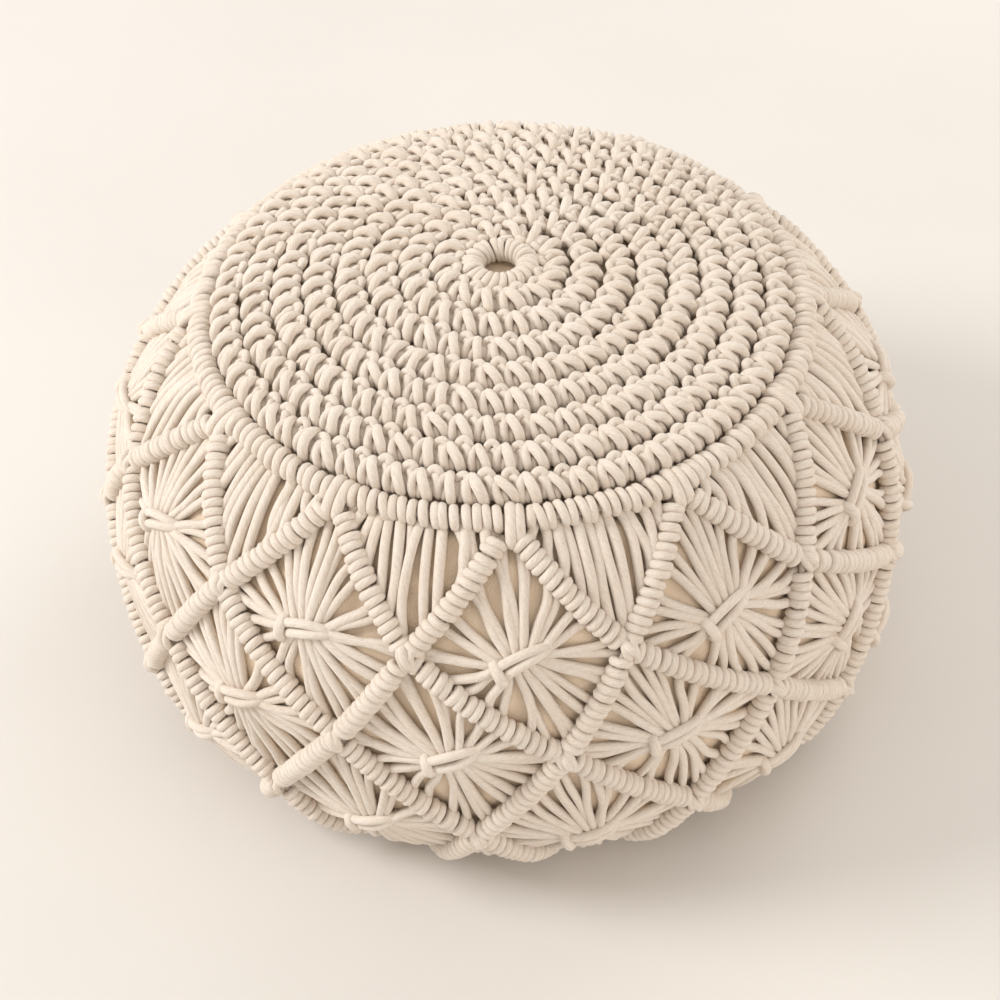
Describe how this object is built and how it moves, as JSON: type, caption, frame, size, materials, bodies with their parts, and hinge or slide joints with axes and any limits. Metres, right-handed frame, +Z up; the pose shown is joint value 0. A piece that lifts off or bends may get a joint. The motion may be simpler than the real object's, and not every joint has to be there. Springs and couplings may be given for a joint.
{
  "type": "floor cushion",
  "caption": "Round stuffed floor cushion in a knotted cotton cord cover, with star-filled diamonds round the side and a zip in the base.",
  "frame": {"origin": "on the floor under the middle of the cushion", "axes": "+Z up; the front, as pictured, faces -Y; the zip runs along X"},
  "size_m": [0.4998, 0.4998, 0.2867],
  "materials": {
    "cotton_cord": "natural undyed cotton cord, matt, slightly fuzzy",
    "liner_cotton": "plain beige cotton cloth, matt",
    "wadding": "white fibre filling",
    "zip_tape": "beige woven tape",
    "zip_nylon": "beige nylon coil, slightly shiny",
    "zip_metal": "satin nickel"
  },
  "bodies": {
    "cushion": {"centre_ring": "cotton_cord", "knot_row_01": "cotton_cord", "knot_row_02": "cotton_cord", "knot_row_03": "cotton_cord", "knot_row_04": "cotton_cord", "knot_row_05": "cotton_cord", "knot_row_06": "cotton_cord", "knot_row_07": "cotton_cord", "knot_row_08": "cotton_cord", "rim_cord": "cotton_cord", "rim_fan": "cotton_cord", "star_tier_upper": "cotton_cord", "star_tier_middle": "cotton_cord", "star_tier_lower": "cotton_cord", "bar_over_01": "cotton_cord", "bar_over_02": "cotton_cord", "bar_over_03": "cotton_cord", "bar_over_04": "cotton_cord", "bar_over_05": "cotton_cord", "bar_over_06": "cotton_cord", "bar_over_07": "cotton_cord", "bar_over_08": "cotton_cord", "bar_over_09": "cotton_cord", "bar_over_10": "cotton_cord", "bar_over_11": "cotton_cord", "bar_over_12": "cotton_cord", "bar_under_01": "cotton_cord", "bar_under_02": "cotton_cord", "bar_under_03": "cotton_cord", "bar_under_04": "cotton_cord", "bar_under_05": "cotton_cord", "bar_under_06": "cotton_cord", "bar_under_07": "cotton_cord", "bar_under_08": "cotton_cord", "bar_under_09": "cotton_cord", "bar_under_10": "cotton_cord", "bar_under_11": "cotton_cord", "bar_under_12": "cotton_cord", "hem_fan": "cotton_cord", "hem_cord": "cotton_cord", "liner_top": "liner_cotton", "liner_side": "liner_cotton", "liner_base": "liner_cotton", "filling": "wadding", "zip_tape_front": "zip_tape", "zip_tape_back": "zip_tape", "zip_coil_front": "zip_nylon", "zip_coil_back": "zip_nylon", "zip_stop_closed": "zip_metal", "zip_stop_open": "zip_metal"},
    "slider": {"zip_slider": "zip_metal"},
    "pull": {"zip_pull": "zip_metal"}
  },
  "joints": [
    {"name": "zip_slide", "type": "slide", "parent": "cushion", "child": "slider", "axis": [-1, 0, 0], "range_m": [0, 0.147]},
    {"name": "pull_hinge", "type": "hinge", "parent": "slider", "child": "pull", "pos_m": [0.0735, 0, 0.0036], "axis": [0, 1, 0], "range_deg": [0, 170]}
  ]
}
